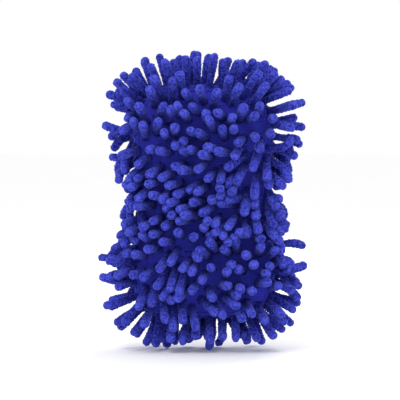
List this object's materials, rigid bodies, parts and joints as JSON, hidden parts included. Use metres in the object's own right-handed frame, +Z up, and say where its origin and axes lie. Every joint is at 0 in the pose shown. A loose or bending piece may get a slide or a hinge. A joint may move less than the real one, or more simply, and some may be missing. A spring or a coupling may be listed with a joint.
{
  "type": "wash mitt",
  "caption": "Waisted foam wash mitt covered in blue chenille noodles, with a plain back and an elastic hand strap across it.",
  "frame": {"origin": "on the surface that the mitt stands on, under the middle of its overall box", "axes": "+Z up the mitt's length, -Y the way the noodle front faces, +Y the way the hand strap faces, +X to the right seen from the front"},
  "size_m": [0.1808, 0.0926, 0.258],
  "materials": {
    "noodle_pile": "matte",
    "backing_cloth": "matte",
    "back_panel": "matte",
    "seam_binding": "matte",
    "elastic": "matte",
    "thread": "satin",
    "foam": "matte"
  },
  "bodies": {
    "pad": {"foam_core": "foam", "front_cloth": "backing_cloth", "gusset_cloth": "backing_cloth", "back_panel": "back_panel", "front_seam_piping": "seam_binding", "back_seam_piping": "seam_binding", "front_noodle_row_01": "noodle_pile", "front_noodle_row_02": "noodle_pile", "front_noodle_row_03": "noodle_pile", "front_noodle_row_04": "noodle_pile", "front_noodle_row_05": "noodle_pile", "front_noodle_row_06": "noodle_pile", "front_noodle_row_07": "noodle_pile", "front_noodle_row_08": "noodle_pile", "front_noodle_row_09": "noodle_pile", "front_noodle_row_10": "noodle_pile", "front_noodle_row_11": "noodle_pile", "front_noodle_row_12": "noodle_pile", "front_noodle_row_13": "noodle_pile", "left_noodle_row_1": "noodle_pile", "right_noodle_row_1": "noodle_pile", "top_noodle_row_1": "noodle_pile", "bottom_noodle_row_1": "noodle_pile", "left_noodle_row_2": "noodle_pile", "right_noodle_row_2": "noodle_pile", "top_noodle_row_2": "noodle_pile", "bottom_noodle_row_2": "noodle_pile", "left_noodle_row_3": "noodle_pile", "right_noodle_row_3": "noodle_pile", "top_noodle_row_3": "noodle_pile", "bottom_noodle_row_3": "noodle_pile", "strap_end_left": "elastic", "strap_end_right": "elastic", "bar_tack_left": "thread", "bar_tack_right": "thread"},
    "hand_strap": {"hand_strap": "elastic"}
  },
  "joints": [
    {"name": "strap_stretch", "type": "slide", "parent": "pad", "child": "hand_strap", "axis": [0, 1, 0], "range_m": [0, 0.018], "stiffness_N_per_m": 300}
  ]
}
